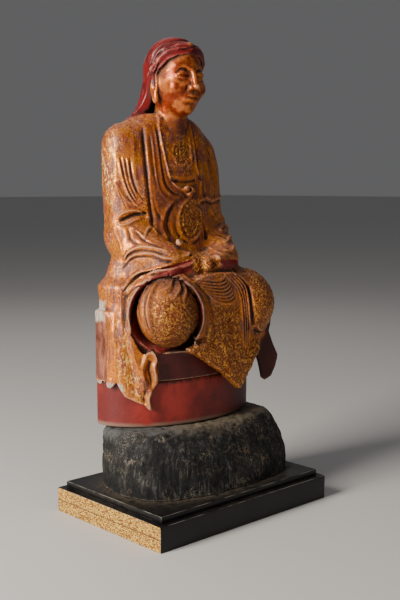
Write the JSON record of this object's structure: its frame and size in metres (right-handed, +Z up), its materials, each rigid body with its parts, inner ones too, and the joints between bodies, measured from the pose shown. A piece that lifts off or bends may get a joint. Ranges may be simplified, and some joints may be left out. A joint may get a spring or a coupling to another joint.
{
  "type": "carved wooden seated sage figure",
  "caption": "Seated hooded sage in loose robes, carved in gilded and lacquered wood, on a drum seat, a dark rock and a stepped plinth.",
  "frame": {"origin": "centre of the plinth's underside", "axes": "+Z up, -Y the way the sage faces, +X towards its left hand"},
  "size_m": [0.356, 0.248, 0.7391],
  "materials": {
    "chipboard": "bare speckled chipboard end with a glued joint, black laminate on the long sides",
    "black_laminate": "black satin laminate, dusty",
    "dark_painted_rock": "carved wood painted dark grey-blue, chipped and dusty",
    "red_lacquer": "carved wood with worn dull red lacquer",
    "worn_gilding": "carved wood with worn gilding over red-brown lacquer, ridges rubbed pale"
  },
  "bodies": {
    "root": {"plinth_board": "chipboard", "plinth_top": "black_laminate", "rock_base": "dark_painted_rock", "seat_drum": "red_lacquer", "sage_figure": "worn_gilding"}
  },
  "joints": []
}
